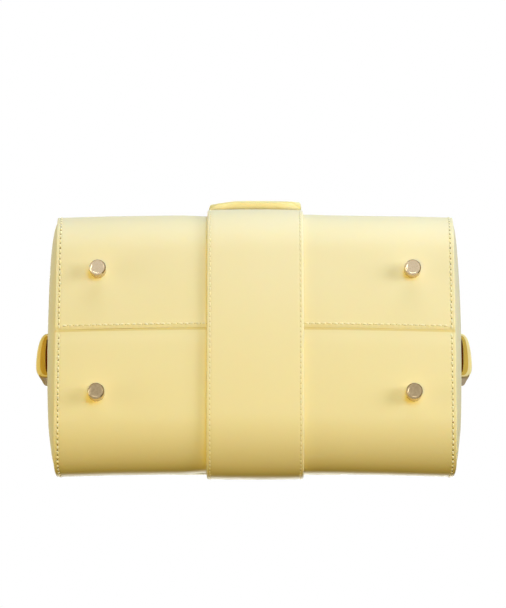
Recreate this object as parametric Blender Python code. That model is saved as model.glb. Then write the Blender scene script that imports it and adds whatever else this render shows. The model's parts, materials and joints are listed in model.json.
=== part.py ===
"""Mini tote bag in smooth leather, standing on its four feet.

Metres, +Z up, X across the width, front towards -Y. Pieces are made about
the middle plane of the wrap, and the finished bag is then moved so that the
origin is on the ground under the middle of its whole depth.
"""
import math

import bmesh
import bpy
from mathutils import Matrix, Vector

# Body
BODY_HEIGHT = 0.160
BASE_HALF_WIDTH = 0.099
RIM_HALF_WIDTH = 0.104
BASE_HALF_DEPTH = 0.0668
ROLL_RADIUS = 0.024
LEAN = math.radians(16.0)
PANEL = 0.0020
PANEL_EDGE = 0.0005
CLEAR = 0.0003

# Lapped seam under the base
LAP_EDGE_Y = -0.0015
LAP_LENGTH = 0.011
LAP_RAMP = 0.0003
LAP_SIDE_MARGIN = 0.010

# Gussets
GUSSET = 0.0016
GUSSET_INSET = 0.0010
GUSSET_FLANGE = 0.0070
GUSSET_BULGE = 0.0043
GUSSET_BULGE_RISE = 0.014
GUSSET_DROP = 0.0030
GUSSET_COLUMNS = 14
GUSSET_UPPER_STEPS = 6
BULGE_POWER = 0.40
RIM_BULGE_SHARE = 0.5

# Base board and feet
BOARD = 0.0025
BOARD_END_INSET = 0.0045
BOARD_SIDE_INSET = 0.0225
BOARD_CORNER = 0.006
FOOT_HEIGHT = 0.0070
FOOT_RADIUS = 0.00405
FOOT_NECK_RADIUS = 0.0034
FOOT_RIM = 0.0006
FOOT_END_INSET = 0.021
FOOT_SIDE_INSET = 0.0354
SHANK_RADIUS = 0.0015
NUT_RADIUS = 0.0040
NUT = 0.0015
NUT_SIDES = 6

# Lining, facings and pocket
LINING = 0.0008
LINING_OFFSET = 0.0050
LINING_END_INSET = 0.0045
LINING_CORNER = 0.006
LINING_DROP = 0.0010
FACING = 0.0012
FACING_HEIGHT = 0.022
FACING_DROP = 0.0005
FACING_END_INSET = 0.0105
POCKET_HALF_WIDTH = 0.045
POCKET_HEIGHT = 0.070
POCKET_DEPTH = 0.0070
POCKET_WALL = 0.0013
POCKET_BOTTOM_Z = 0.078

# Central strap and closure
STRAP_HALF_WIDTH = 0.0242
STRAP = 0.0022
STRAP_EDGE = 0.0006
STRAP_FRONT_TOP_Z = 0.112
CLOSURE_HALF_WIDTH = 0.0236
CLOSURE = 0.0034
CLOSURE_EDGE = 0.0008
CLOSURE_STAND = 0.0024
CLOSURE_TIP_Z = 0.0285
CLOSURE_TIP_ROUND = 0.0045
CLOSURE_FOLD_ANGLE = math.radians(75.0)
SNAP_RADIUS = 0.0080
SNAP_SOCKET = 0.0009
SNAP_STUD = 0.0006
SNAP_Z = 0.060

# Side loops on the gussets
LOOP_HALF_WIDTH = 0.01075
LOOP_HEIGHT = 0.020
LOOP_BOTTOM_Z = 0.054
LOOP_BACK = 0.0008
LOOP_HOLLOW = 0.0013
LOOP_FRONT = 0.0040
LOOP_HOLLOW_HALF_WIDTH = 0.0078
LOOP_ARCH_POWER = 0.6

# Handles, their rings and the leather tabs that hold them
HANDLE_X = 0.046
HANDLE_AXIS_DROP = 0.006
HANDLE_LEAN = math.radians(12.0)
HANDLE_RADIUS = 0.00475
HANDLE_RISE = 0.095
HANDLE_LEG = 0.040
HANDLE_EYE_RADIUS = 0.0040
HANDLE_EYE_HALF_WIDTH = 0.0070
HANDLE_EYE_ANGLE = math.radians(78.0)
HANDLE_EYE_SQUARE_SHARE = 0.5
HANDLE_NECK = 0.024
RING_WIRE = 0.0015
RING_RISE = 0.014
RING_HALF_WIDTH = 0.0115
RING_CORNER = 0.0035
EYE_CLEAR = 0.00035
CHAPE = 0.0030
CHAPE_LENGTH = 0.040
CHAPE_HALF_WIDTH = 0.0088
RIVET_HEAD_RADIUS = 0.0036
RIVET_HEAD = 0.0012
RIVET_DOME_SHARES = ((1.0, 0.33), (0.8, 0.75), (0.4, 1.0))
RIVET_TAIL_RADIUS = 0.0030
RIVET_TAIL = 0.0010
RIVET_UP = 0.012

# Cuts and smoothness
OVERRUN = 0.0020
ROLL_STEPS = 10
ARC_STEPS = 6
ROUND_SIDES = 24
RIVET_SIDES = 16
EYE_SIDES = 12
WIRE_SIDES = 8
HANDLE_SIDES = 16
HANDLE_ARC_STEPS = 20
SMOOTH_ANGLE = math.radians(35.0)

BASE_Z = FOOT_HEIGHT
RIM_Z = BASE_Z + BODY_HEIGHT
ROLL_Y = BASE_HALF_DEPTH - ROLL_RADIUS
ROLL_Z = BASE_Z + ROLL_RADIUS
BOARD_Z = BASE_Z + 2 * (PANEL + CLEAR)
BOARD_HALF_LENGTH = BASE_HALF_WIDTH - BOARD_END_INSET
BOARD_HALF_DEPTH = BASE_HALF_DEPTH - BOARD_SIDE_INSET
FOOT_X = BASE_HALF_WIDTH - FOOT_END_INSET
FOOT_Y = BASE_HALF_DEPTH - FOOT_SIDE_INSET
NUT_Z = BOARD_Z + BOARD + CLEAR
LINING_Z = NUT_Z + NUT + CLEAR
STRAP_OFFSET = CLEAR
STRAP_OUT = STRAP_OFFSET + STRAP
CLOSURE_OFFSET = STRAP_OUT + CLOSURE_STAND
CLOSURE_MID = CLOSURE_OFFSET + CLOSURE / 2
CLOSURE_Z = RIM_Z + CLEAR + CLOSURE / 2
HANDLE_AXIS_Z = RIM_Z - HANDLE_AXIS_DROP
HANDLE_AXIS_OFFSET = CLEAR + CHAPE
EYE_RADIUS = RING_WIRE + EYE_CLEAR

SIDES = {"left": -1, "right": 1}
FACES = {"front": -1, "back": 1}

LEATHER = ("butter_leather", (0.93, 0.82, 0.50), 0.45, 0.0)
SUEDE = ("lining_suede", (0.82, 0.72, 0.50), 0.9, 0.0)
BOARD_FIBRE = ("board_fibre", (0.45, 0.36, 0.25), 0.8, 0.0)
GILT = ("pale_gilt", (0.78, 0.66, 0.48), 0.25, 1.0)
STEEL = ("steel", (0.60, 0.60, 0.62), 0.3, 1.0)


def clear_scene():
    for thing in list(bpy.data.objects):
        bpy.data.objects.remove(thing, do_unlink=True)


def material(look):
    name, colour, roughness, metallic = look
    found = bpy.data.materials.get(name)
    if found:
        return found
    made = bpy.data.materials.new(name)
    made.use_nodes = True
    shader = made.node_tree.nodes["Principled BSDF"]
    shader.inputs["Base Color"].default_value = (*colour, 1.0)
    shader.inputs["Roughness"].default_value = roughness
    shader.inputs["Metallic"].default_value = metallic
    return made


def add_object(name, bm, look, pivot=(0, 0, 0)):
    """Make an object from bm, with its origin at pivot."""
    bmesh.ops.recalc_face_normals(bm, faces=bm.faces)
    pivot = Vector(pivot)
    bmesh.ops.translate(bm, verts=bm.verts, vec=-pivot)
    mesh = bpy.data.meshes.new(name)
    bm.to_mesh(mesh)
    bm.free()
    mesh.shade_smooth()
    mesh.set_sharp_from_angle(angle=SMOOTH_ANGLE)
    mesh.materials.append(material(look))
    thing = bpy.data.objects.new(name, mesh)
    thing.location = pivot
    bpy.context.scene.collection.objects.link(thing)
    return thing


def loft(name, rings, look, pivot=(0, 0, 0), closed=False):
    """Skin a run of rings of points, capped at both ends unless closed."""
    bm = bmesh.new()
    loops = [[bm.verts.new(point) for point in ring] for ring in rings]
    pairs = list(zip(loops, loops[1:]))
    if closed:
        pairs.append((loops[-1], loops[0]))
    for first, second in pairs:
        count = len(first)
        for i in range(count):
            j = (i + 1) % count
            bm.faces.new((first[i], first[j], second[j], second[i]))
    if not closed:
        bm.faces.new(loops[0])
        bm.faces.new(loops[-1])
    return add_object(name, bm, look, pivot)


def circle(centre, u_axis, v_axis, radius, sides):
    """Points round a circle in the plane of two unit vectors."""
    turn = 2 * math.pi / sides
    return [
        centre + u_axis * (radius * math.cos(turn * i)) + v_axis * (radius * math.sin(turn * i))
        for i in range(sides)
    ]


def across(axis):
    """Two unit vectors square to axis."""
    axis = Vector(axis).normalized()
    helper = Vector((1, 0, 0)) if abs(axis.x) < abs(axis.z) else Vector((0, 1, 0))
    u_axis = axis.cross(helper).normalized()
    return u_axis, axis.cross(u_axis)


def turned(name, origin, axis, profile, look, sides=ROUND_SIDES, pivot=(0, 0, 0)):
    """A turned piece: profile holds (radius, distance along axis)."""
    axis = Vector(axis).normalized()
    u_axis, v_axis = across(axis)
    rings = [circle(Vector(origin) + axis * along, u_axis, v_axis, radius, sides)
             for radius, along in profile]
    return loft(name, rings, look, pivot)


def hide_cutter(cutter):
    cutter.hide_render = True
    cutter.display_type = "WIRE"


def cut(thing, cutter):
    hide_cutter(cutter)
    modifier = thing.modifiers.new(cutter.name, "BOOLEAN")
    modifier.operation = "DIFFERENCE"
    modifier.solver = "EXACT"
    modifier.object = cutter


def hole(things, name, origin, axis, radius, reach, sides=ROUND_SIDES):
    """Cut a round hole that runs reach each way from origin."""
    cutter = turned(name, origin, axis, [(radius, -reach), (radius, reach)], LEATHER, sides)
    for thing in things:
        cut(thing, cutter)


def half_width(z):
    """Half of the wrap's width at a height: it flares towards the rim."""
    return BASE_HALF_WIDTH + (RIM_HALF_WIDTH - BASE_HALF_WIDTH) * (z - BASE_Z) / BODY_HEIGHT


def wall_y(offset, z):
    """Distance of the wrap's outer face, moved out by offset, from the middle plane."""
    radius = ROLL_RADIUS + offset
    tangent_z = ROLL_Z + radius * math.sin(LEAN)
    if z < tangent_z:
        drop = min(ROLL_Z - z, radius)
        return ROLL_Y + math.sqrt(max(radius ** 2 - drop ** 2, 0))
    return ROLL_Y + radius * math.cos(LEAN) - (z - tangent_z) * math.tan(LEAN)


def roll_angles(steps=ROLL_STEPS):
    """Angles of the rolled edge, from the leaning face down to the flat base."""
    start, end = LEAN, -math.pi / 2
    return [start + (end - start) * i / steps for i in range(steps + 1)]


def wrap_stations(face, outer, inner, top_z):
    """Outer and inner points of a layer on the wrap, from top_z down to the flat base."""
    stations = [((face * wall_y(outer, top_z), top_z), (face * wall_y(inner, top_z), top_z))]
    for angle in roll_angles():
        pair = []
        for offset in (outer, inner):
            radius = ROLL_RADIUS + offset
            pair.append((face * (ROLL_Y + radius * math.cos(angle)), ROLL_Z + radius * math.sin(angle)))
        stations.append(tuple(pair))
    return stations


def band_ring(outer, inner, half, edge, middle_x=0):
    """One cross-section of a band: eight points with its corners cut by edge."""
    a, b = Vector(outer), Vector(inner)
    into = (b - a).normalized() * edge
    corners = [
        (half - edge, a), (half, a + into), (half, b - into), (half - edge, b),
        (edge - half, b), (-half, b - into), (-half, a + into), (edge - half, a),
    ]
    return [Vector((middle_x + x, yz.x, yz.y)) for x, yz in corners]


def band(name, stations, look, edge, pivot=(0, 0, 0), middle_x=0):
    """A band whose stations are (outer point, inner point, half width)."""
    rings = [band_ring(outer, inner, half, edge, middle_x) for outer, inner, half in stations]
    return loft(name, rings, look, pivot)


def rounded_rectangle(half_u, half_v, corner, steps=ARC_STEPS):
    """Points round a rectangle with round corners, as (u, v) pairs."""
    points = []
    for quarter, (su, sv) in enumerate(((1, 1), (-1, 1), (-1, -1), (1, -1))):
        for i in range(steps + 1):
            angle = math.pi / 2 * (quarter + i / steps)
            points.append((su * (half_u - corner) + corner * math.cos(angle),
                           sv * (half_v - corner) + corner * math.sin(angle)))
    return points


def make_front_panel():
    stations = wrap_stations(FACES["front"], 0, -PANEL, RIM_Z)
    stations.append(((LAP_EDGE_Y, BASE_Z), (LAP_EDGE_Y, BASE_Z + PANEL)))
    return band("front_panel", [(o, i, half_width(o[1])) for o, i in stations], LEATHER, PANEL_EDGE)


def make_back_panel():
    """The back half, with the tongue that the front half laps over."""
    stations = [(o, i, half_width(o[1]))
                for o, i in wrap_stations(FACES["back"], 0, -PANEL, RIM_Z)]
    ramp_end = LAP_EDGE_Y + CLEAR
    ramp_start = ramp_end + LAP_RAMP
    lift = PANEL + CLEAR
    tongue = BASE_HALF_WIDTH - LAP_SIDE_MARGIN
    stations.append(((ramp_start + CLEAR, BASE_Z), (ramp_start + PANEL, BASE_Z + PANEL), BASE_HALF_WIDTH))
    stations.append(((ramp_start, BASE_Z), (ramp_start + PANEL / 2, BASE_Z + PANEL), tongue))
    stations.append(((ramp_end, BASE_Z + lift), (ramp_end + PANEL / 2, BASE_Z + lift + PANEL), tongue))
    tongue_end = LAP_EDGE_Y - LAP_LENGTH
    stations.append(((tongue_end, BASE_Z + lift), (tongue_end, BASE_Z + lift + PANEL), tongue))
    return band("back_panel", stations, LEATHER, PANEL_EDGE)


def gusset_x(y_share, z):
    """Distance of a gusset's outer face from the middle, with its soft bulge."""
    low = BASE_Z + PANEL + CLEAR
    rise = math.sqrt(min((z - low) / GUSSET_BULGE_RISE, 1)) if z > low else 0
    up_share = (z - low) / (RIM_Z - low)
    rise *= 1 - (1 - RIM_BULGE_SHARE) * up_share ** 3
    crown = max(1 - y_share ** 2, 0) ** BULGE_POWER
    return half_width(z) - GUSSET_INSET + GUSSET_BULGE * rise * crown


def make_gusset(name, side):
    """A gusset sheet with a flange turned in along its sides and base."""
    offset = -(PANEL + CLEAR)
    radius = ROLL_RADIUS + offset
    heights = [ROLL_Z + radius * math.sin(angle) for angle in reversed(roll_angles())]
    top_z = RIM_Z - GUSSET_DROP
    heights += [heights[-1] + (top_z - heights[-1]) * i / GUSSET_UPPER_STEPS
                for i in range(1, GUSSET_UPPER_STEPS + 1)]
    columns = GUSSET_COLUMNS
    shares = [math.sin(math.pi * (i / columns - 1 / 2)) for i in range(columns + 1)]
    bm = bmesh.new()
    grid = []
    for z in heights:
        reach = wall_y(offset, z)
        grid.append([bm.verts.new((side * gusset_x(share, z), share * reach, z)) for share in shares])
    for low, high in zip(grid, grid[1:]):
        for i in range(columns):
            bm.faces.new((low[i], low[i + 1], high[i + 1], high[i]))
    rim = [row[0] for row in reversed(grid)] + grid[0][1:-1] + [row[-1] for row in grid]
    flange = []
    for vert in rim:
        inner = vert.co.copy()
        inner.x -= side * GUSSET_FLANGE
        flange.append(bm.verts.new(inner))
    for i in range(len(rim) - 1):
        bm.faces.new((rim[i], rim[i + 1], flange[i + 1], flange[i]))
    bmesh.ops.recalc_face_normals(bm, faces=bm.faces)
    bm.faces.ensure_lookup_table()
    middle = bm.faces[(len(heights) // 2) * columns + columns // 2]
    if middle.normal.x * side < 0:
        bmesh.ops.reverse_faces(bm, faces=bm.faces)
    mesh = bpy.data.meshes.new(name)
    bm.to_mesh(mesh)
    bm.free()
    mesh.shade_smooth()
    mesh.set_sharp_from_angle(angle=SMOOTH_ANGLE)
    mesh.materials.append(material(LEATHER))
    thing = bpy.data.objects.new(name, mesh)
    bpy.context.scene.collection.objects.link(thing)
    shell = thing.modifiers.new("thickness", "SOLIDIFY")
    shell.thickness = GUSSET
    shell.offset = -1
    shell.use_even_offset = True
    return thing


def make_base_board():
    outline = rounded_rectangle(BOARD_HALF_LENGTH, BOARD_HALF_DEPTH, BOARD_CORNER)
    rings = [[Vector((u, v, z)) for u, v in outline] for z in (BOARD_Z, BOARD_Z + BOARD)]
    return loft("base_board", rings, BOARD_FIBRE)


def lining_ring(z, shrink=0):
    half_u = half_width(z) - LINING_END_INSET - shrink
    half_v = wall_y(-LINING_OFFSET, z) - shrink
    return [Vector((u, v, z)) for u, v in rounded_rectangle(half_u, half_v, LINING_CORNER - shrink)]


def make_lining():
    """An open bucket of suede: up the outside, then down the inside."""
    top_z = RIM_Z - LINING_DROP
    heights = [LINING_Z]
    tangent_z = ROLL_Z + (ROLL_RADIUS - LINING_OFFSET) * math.sin(LEAN)
    heights += [LINING_Z + (tangent_z - LINING_Z) * i / ARC_STEPS for i in range(1, ARC_STEPS + 1)]
    heights.append(top_z)
    rings = [lining_ring(z) for z in heights]
    rings += [lining_ring(z, LINING) for z in reversed(heights[1:])]
    floor = lining_ring(LINING_Z, LINING)
    for point in floor:
        point.z += LINING
    rings.append(floor)
    return loft("lining", rings, SUEDE)


def make_facing(name, face):
    top_z = RIM_Z - FACING_DROP
    low_z = top_z - FACING_HEIGHT
    outer, inner = -(PANEL + CLEAR), -(PANEL + CLEAR + FACING)
    stations = []
    for z in (top_z, low_z):
        stations.append(((face * wall_y(outer, z), z), (face * wall_y(inner, z), z),
                         half_width(z) - FACING_END_INSET))
    return band(name, stations, LEATHER, CLEAR)


def face_frame(face, offset, z, x=0):
    """A matrix at a point on a leaning face: X across, Y outwards, Z up the face."""
    out = Vector((0, face * math.cos(LEAN), math.sin(LEAN)))
    up = Vector((0, -face * math.sin(LEAN), math.cos(LEAN)))
    matrix = Matrix((Vector((1, 0, 0)), out, up)).transposed().to_4x4()
    matrix.translation = Vector((x, face * wall_y(offset, z), z))
    return matrix


def box_rings(half_u, low_v, high_v, low_w, high_w, matrix):
    """The two end rings of a plain block in a local frame."""
    return [[matrix @ Vector((u, v, w)) for u, v in
             ((-half_u, low_v), (half_u, low_v), (half_u, high_v), (-half_u, high_v))]
            for w in (low_w, high_w)]


def make_slip_pocket():
    """A flat pouch on the back wall of the lining, open at its top."""
    matrix = face_frame(FACES["back"], -(LINING_OFFSET + LINING + CLEAR), POCKET_BOTTOM_Z)
    depth = POCKET_DEPTH + 2 * POCKET_WALL
    pouch = loft("slip_pocket", box_rings(POCKET_HALF_WIDTH, -depth, 0, 0, POCKET_HEIGHT, matrix), SUEDE)
    cavity = loft("pocket_cavity", box_rings(
        POCKET_HALF_WIDTH - POCKET_WALL, POCKET_WALL - depth, -POCKET_WALL,
        POCKET_WALL, POCKET_HEIGHT + OVERRUN, matrix), SUEDE)
    cut(pouch, cavity)
    return pouch


def make_base_strap():
    """The strap from the front, round the base, to the fold at the back rim."""
    front = wrap_stations(FACES["front"], STRAP_OUT, STRAP_OFFSET, STRAP_FRONT_TOP_Z)
    back = wrap_stations(FACES["back"], STRAP_OUT, STRAP_OFFSET, RIM_Z)
    stations = [(o, i, STRAP_HALF_WIDTH) for o, i in front + back[::-1]]
    return band("base_strap", stations, LEATHER, STRAP_EDGE)


def closure_axes():
    """The fold lines at the back rim and the front rim, as (y, z)."""
    back = (wall_y(STRAP_OFFSET + STRAP / 2, RIM_Z), CLOSURE_Z)
    front = (-wall_y(CLOSURE_MID, CLOSURE_Z), CLOSURE_Z)
    return back, front


def make_closure_bridge():
    """The part of the closure that crosses the open top, round at both folds."""
    (back_y, z), (front_y, _) = closure_axes()
    radius = CLOSURE / 2
    stations = []
    for fold_y, way in ((back_y, 1), (front_y, -1)):
        angles = [CLOSURE_FOLD_ANGLE * i / ARC_STEPS for i in range(ARC_STEPS + 1)]
        run = [(fold_y + way * radius * math.sin(a), radius * math.cos(a)) for a in angles]
        stations += run[::-1] if way > 0 else run
    edge = CLEAR
    return band("closure_bridge",
                [((y, z + half), (y, z - half), CLOSURE_HALF_WIDTH) for y, half in stations],
                LEATHER, edge, pivot=(0, back_y, z))


def make_closure_flap():
    """The part of the closure that hangs down the front, with a rounded tip."""
    _, (fold_y, fold_z) = closure_axes()
    outer, inner = CLOSURE_OFFSET + CLOSURE, CLOSURE_OFFSET
    heights = [(RIM_Z, 0), (CLOSURE_TIP_Z + CLOSURE_TIP_ROUND, 0)]
    for i in range(1, ARC_STEPS):
        angle = math.pi / 2 * i / ARC_STEPS
        heights.append((CLOSURE_TIP_Z + CLOSURE_TIP_ROUND * (1 - math.sin(angle)),
                        CLOSURE_TIP_ROUND * (1 - math.cos(angle))))
    stations = []
    for z, narrow in heights:
        stations.append(((face_line(outer, z), z), (face_line(inner, z), z), CLOSURE_HALF_WIDTH - narrow))
    return band("closure_flap", stations, LEATHER, CLOSURE_EDGE, pivot=(0, fold_y, fold_z))


def face_line(offset, z):
    """The front face's straight line, also below where the wrap starts to roll."""
    radius = ROLL_RADIUS + offset
    tangent_z = ROLL_Z + radius * math.sin(LEAN)
    return -(ROLL_Y + radius * math.cos(LEAN) - (z - tangent_z) * math.tan(LEAN))


def make_snap():
    """The two halves of the magnetic snap, between the strap and the flap."""
    _, (fold_y, fold_z) = closure_axes()
    out = Vector((0, -math.cos(LEAN), math.sin(LEAN)))
    foot = Vector((0, face_line(STRAP_OUT, SNAP_Z), SNAP_Z))
    turned("snap_socket", foot, out,
           [(SNAP_RADIUS, CLEAR), (SNAP_RADIUS, CLEAR + SNAP_SOCKET)], GILT)
    stud_start = CLOSURE_STAND - CLEAR - SNAP_STUD
    turned("snap_stud", foot, out,
           [(SNAP_RADIUS, stud_start), (SNAP_RADIUS, stud_start + SNAP_STUD)], GILT,
           pivot=(0, fold_y, fold_z))


def make_side_loop(name, side):
    """A flat leather loop on a gusset, open from top to bottom."""
    middle_z = LOOP_BOTTOM_Z + LOOP_HEIGHT / 2
    rise = (gusset_x(0, middle_z + LOOP_HEIGHT / 2) - gusset_x(0, middle_z - LOOP_HEIGHT / 2)) / LOOP_HEIGHT
    up = Vector((side * rise, 0, 1)).normalized()
    out = Vector((side * up.z, 0, -side * up.x))
    across_y = Vector((0, 1, 0))
    origin = Vector((side * gusset_x(0, middle_z), 0, middle_z)) + out * CLEAR
    depth = LOOP_BACK + LOOP_HOLLOW + LOOP_FRONT

    def ring(half, low, high, along, crown):
        points = [(-half, low), (half, low)]
        for i in range(ARC_STEPS * 2 + 1):
            angle = math.pi * i / (ARC_STEPS * 2)
            points.append((half * math.cos(angle),
                           low + crown + (high - low - crown) * math.sin(angle) ** LOOP_ARCH_POWER))
        return [origin + across_y * v + out * u + up * along for v, u in points]

    half_height = LOOP_HEIGHT / 2
    thing = loft(name, [ring(LOOP_HALF_WIDTH, 0, depth, w, LOOP_BACK) for w in (-half_height, half_height)],
                 LEATHER)
    reach = half_height + OVERRUN
    hollow = loft(name + "_hollow", [ring(LOOP_HOLLOW_HALF_WIDTH, LOOP_BACK, LOOP_BACK + LOOP_HOLLOW, w,
                                          LOOP_HOLLOW / 2) for w in (-reach, reach)], LEATHER)
    cut(thing, hollow)
    return thing


def make_foot(name, x, y):
    """A turned foot with its shank through the base, and the nut that holds it."""
    neck = FOOT_HEIGHT - CLEAR
    shank_top = NUT_Z + NUT
    profile = [
        (FOOT_RADIUS - FOOT_RIM, 0), (FOOT_RADIUS, FOOT_RIM), (FOOT_RADIUS, neck - 2 * FOOT_RIM),
        (FOOT_NECK_RADIUS, neck - FOOT_RIM), (FOOT_NECK_RADIUS, neck),
        (SHANK_RADIUS, neck), (SHANK_RADIUS, shank_top),
    ]
    turned(name, (x, y, 0), (0, 0, 1), profile, GILT)
    nut = turned(name.replace("foot", "foot_nut"), (x, y, NUT_Z), (0, 0, 1),
                 [(NUT_RADIUS, 0), (NUT_RADIUS, NUT)], STEEL, sides=NUT_SIDES)
    return nut


def make_chape(name, face, x):
    """A leather tab on a panel, turned round the ring's lower bar at its top."""
    axis_z = HANDLE_AXIS_Z
    matrix = face_frame(face, 0, axis_z, x)
    radius = CHAPE
    outline = [(CLEAR, -CHAPE_LENGTH), (CLEAR, 0)]
    steps = ARC_STEPS * 2
    for i in range(1, steps + 1):
        angle = math.pi - 3 * math.pi / 2 * i / steps
        outline.append((CLEAR + radius + radius * math.cos(angle), radius * math.sin(angle)))
    outline.append((CLEAR + CHAPE, -CHAPE_LENGTH))
    rings = [[matrix @ Vector((u, v, w)) for v, w in outline]
             for u in (-CHAPE_HALF_WIDTH, CHAPE_HALF_WIDTH)]
    return loft(name, rings, LEATHER)


def make_rivet(name, face, x):
    matrix = face_frame(face, 0, HANDLE_AXIS_Z - (CHAPE_LENGTH - RIVET_UP) * math.cos(LEAN), x)
    out = matrix.to_3x3() @ Vector((0, 1, 0))
    head = CLEAR + CHAPE + CLEAR
    tail = -(PANEL + CLEAR)
    profile = [
        (RIVET_TAIL_RADIUS, tail - RIVET_TAIL), (RIVET_TAIL_RADIUS, tail),
        (SHANK_RADIUS, tail), (SHANK_RADIUS, head), (RIVET_HEAD_RADIUS, head),
    ]
    profile += [(RIVET_HEAD_RADIUS * wide, head + RIVET_HEAD * high) for wide, high in RIVET_DOME_SHARES]
    turned(name, matrix.translation, out, profile, GILT, sides=RIVET_SIDES)
    return matrix.translation.copy(), out


def handle_frame(face, x=0):
    """A matrix on a handle's hinge line: X across, Y outwards, Z up the handle."""
    origin = face_frame(face, 0, HANDLE_AXIS_Z) @ Vector((0, HANDLE_AXIS_OFFSET, 0))
    out = Vector((0, face * math.cos(HANDLE_LEAN), math.sin(HANDLE_LEAN)))
    up = Vector((0, -face * math.sin(HANDLE_LEAN), math.cos(HANDLE_LEAN)))
    matrix = Matrix((Vector((1, 0, 0)), out, up)).transposed().to_4x4()
    matrix.translation = Vector((x, origin.y, origin.z))
    return matrix


def make_ring(name, face, x):
    """A closed rectangular ring: its lower bar is on the hinge line."""
    matrix = handle_frame(face, x)
    path = [Vector((u, 0, v + RING_RISE / 2))
            for u, v in rounded_rectangle(RING_HALF_WIDTH, RING_RISE / 2, RING_CORNER)]
    rings = []
    depth_axis = Vector((0, 1, 0))
    for i, point in enumerate(path):
        ahead = path[(i + 1) % len(path)]
        behind = path[i - 1]
        along = (ahead - behind).normalized()
        outward = along.cross(depth_axis)
        rings.append([matrix @ p for p in circle(point, outward, depth_axis, RING_WIRE, WIRE_SIDES)])
    return loft(name, rings, GILT, pivot=matrix.translation, closed=True)


def make_handle(name, face):
    """A rolled handle whose flattened ends are sewn round the rings' upper bars."""
    matrix = handle_frame(face)
    eye_z = RING_RISE
    leg_top = eye_z + HANDLE_LEG
    arch = HANDLE_RISE - HANDLE_LEG
    stations = []
    for i in range(ARC_STEPS + 1):
        angle = HANDLE_EYE_ANGLE * (1 - i / ARC_STEPS)
        stations.append((HANDLE_X, eye_z - HANDLE_EYE_RADIUS * math.sin(angle), 0.0,
                         HANDLE_EYE_HALF_WIDTH, HANDLE_EYE_RADIUS * math.cos(angle)))
    for i in range(1, ARC_STEPS + 1):
        share = i / ARC_STEPS
        ease = share * share * (3 - 2 * share)
        stations.append((HANDLE_X, eye_z + HANDLE_NECK * share, 0.0,
                         HANDLE_EYE_HALF_WIDTH + (HANDLE_RADIUS - HANDLE_EYE_HALF_WIDTH) * ease,
                         HANDLE_EYE_RADIUS + (HANDLE_RADIUS - HANDLE_EYE_RADIUS) * ease))
    half_steps = HANDLE_ARC_STEPS // 2
    for i in range(half_steps + 1):
        angle = math.pi / 2 * i / half_steps
        x = HANDLE_X * math.cos(angle)
        z = leg_top + arch * math.sin(angle)
        tilt = math.atan2(HANDLE_X * math.sin(angle), arch * math.cos(angle))
        stations.append((x, z, tilt, HANDLE_RADIUS, HANDLE_RADIUS))
    rings = []
    mirrored = [(-x, z, math.pi - tilt, a, b) for x, z, tilt, a, b in stations[-2::-1]]
    for x, z, tilt, half_a, half_b in stations + mirrored:
        outward = Vector((math.cos(tilt), 0, math.sin(tilt)))
        centre = Vector((x, 0, z))
        squareness = (half_a - HANDLE_RADIUS) / (HANDLE_EYE_HALF_WIDTH - HANDLE_RADIUS)
        power = 1 - squareness * HANDLE_EYE_SQUARE_SHARE
        ring = []
        for k in range(HANDLE_SIDES):
            angle = math.pi * (2 * k + 1) / HANDLE_SIDES
            c, s = math.cos(angle), math.sin(angle)
            u = math.copysign(abs(c) ** power, c) * half_a
            v = math.copysign(abs(s) ** power, s) * half_b
            ring.append(matrix @ (centre + outward * u + Vector((0, v, 0))))
        rings.append(ring)
    return loft(name, rings, LEATHER, pivot=matrix.translation)


def make_body():
    front = make_front_panel()
    back = make_back_panel()
    board = make_base_board()
    for side_name, side in SIDES.items():
        make_gusset(side_name + "_gusset", side)
        make_side_loop(side_name + "_side_loop", side)
        for face_name, face in FACES.items():
            x, y = side * FOOT_X, face * FOOT_Y
            nut = make_foot("_".join(("foot", face_name, side_name)), x, y)
            panel = front if face < 0 else back
            hole([panel, board, nut], "_".join(("foot_hole", face_name, side_name)),
                 (x, y, BASE_Z), (0, 0, 1), SHANK_RADIUS + CLEAR, BOARD_Z + BOARD)
    make_lining()
    make_slip_pocket()
    for face_name, face in FACES.items():
        make_facing(face_name + "_facing", face)
    return front, back


def make_handles(front, back):
    for face_name, face in FACES.items():
        panel = front if face < 0 else back
        handle = make_handle(face_name + "_handle", face)
        for side_name, side in SIDES.items():
            x = side * HANDLE_X
            tail = "_".join((face_name, side_name))
            matrix = handle_frame(face, x)
            make_ring("ring_" + tail, face, x)
            chape = make_chape("chape_" + tail, face, x)
            upper = matrix @ Vector((0, 0, RING_RISE))
            hole([handle], "eye_" + tail, upper, (1, 0, 0), EYE_RADIUS,
                 HANDLE_EYE_HALF_WIDTH + OVERRUN, sides=EYE_SIDES)
            hole([chape], "chape_eye_" + tail, matrix.translation, (1, 0, 0), EYE_RADIUS,
                 CHAPE_HALF_WIDTH + OVERRUN, sides=EYE_SIDES)
            middle, out = make_rivet("rivet_" + tail, face, x)
            hole([panel, chape], "rivet_hole_" + tail, middle, out, SHANK_RADIUS + CLEAR,
                 CHAPE + PANEL + OVERRUN, sides=RIVET_SIDES)


def centre_depth():
    """Bring the middle of the whole depth, from the flap's tip to the strap's back, over the origin."""
    front_reach = -face_line(CLOSURE_OFFSET + CLOSURE, CLOSURE_TIP_Z)
    back_reach = BASE_HALF_DEPTH + STRAP_OUT
    for thing in bpy.data.objects:
        thing.location.y += (front_reach - back_reach) / 2


def main():
    clear_scene()
    front, back = make_body()
    make_base_strap()
    make_closure_bridge()
    make_closure_flap()
    make_snap()
    make_handles(front, back)
    centre_depth()


main()
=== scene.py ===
"""The looks of the mini tote: smooth butter leather, thread, plating and studio light."""

import json
import math

import bmesh
import bpy
from mathutils import Matrix, Vector, noise


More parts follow.
